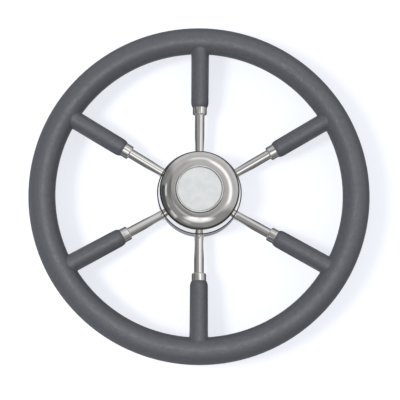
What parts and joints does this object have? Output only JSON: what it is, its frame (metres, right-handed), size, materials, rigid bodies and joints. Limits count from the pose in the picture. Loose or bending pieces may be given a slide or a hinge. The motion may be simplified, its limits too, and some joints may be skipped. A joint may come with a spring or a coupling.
{
  "type": "boat steering wheel",
  "caption": "Boat steering wheel: round foam grip on a steel rim, straight polished spokes with foam sleeves, and a pressed hub with a snap-in cap. It turns a tapered helm shaft.",
  "frame": {"origin": "centre of the hub's rear face, where the helm shaft enters", "axes": "+Z along the wheel's axis towards the helmsman, +Y along the first spoke"},
  "size_m": [0.35, 0.35, 0.0466],
  "materials": {
    "foam_grip": "matt grey foam with a fine leather grain",
    "polished_steel": "mirror-polished stainless steel",
    "plain_steel": "plain turned or drawn stainless steel",
    "metallised_cap": "metallised moulding, polished",
    "satin_disc": "pale satin metal under a clear coat"
  },
  "bodies": {
    "root": {"rim_cover": "foam_grip", "rim_ring": "plain_steel", "spoke_1": "polished_steel", "spoke_2": "polished_steel", "spoke_3": "polished_steel", "spoke_4": "polished_steel", "spoke_5": "polished_steel", "spoke_6": "polished_steel", "ferrule_1": "polished_steel", "ferrule_2": "polished_steel", "ferrule_3": "polished_steel", "ferrule_4": "polished_steel", "ferrule_5": "polished_steel", "ferrule_6": "polished_steel", "hub_boss": "plain_steel", "rear_shell": "polished_steel", "front_shell": "polished_steel", "hub_cap": "metallised_cap", "cap_bezel": "polished_steel", "cap_disc": "satin_disc"}
  },
  "joints": []
}
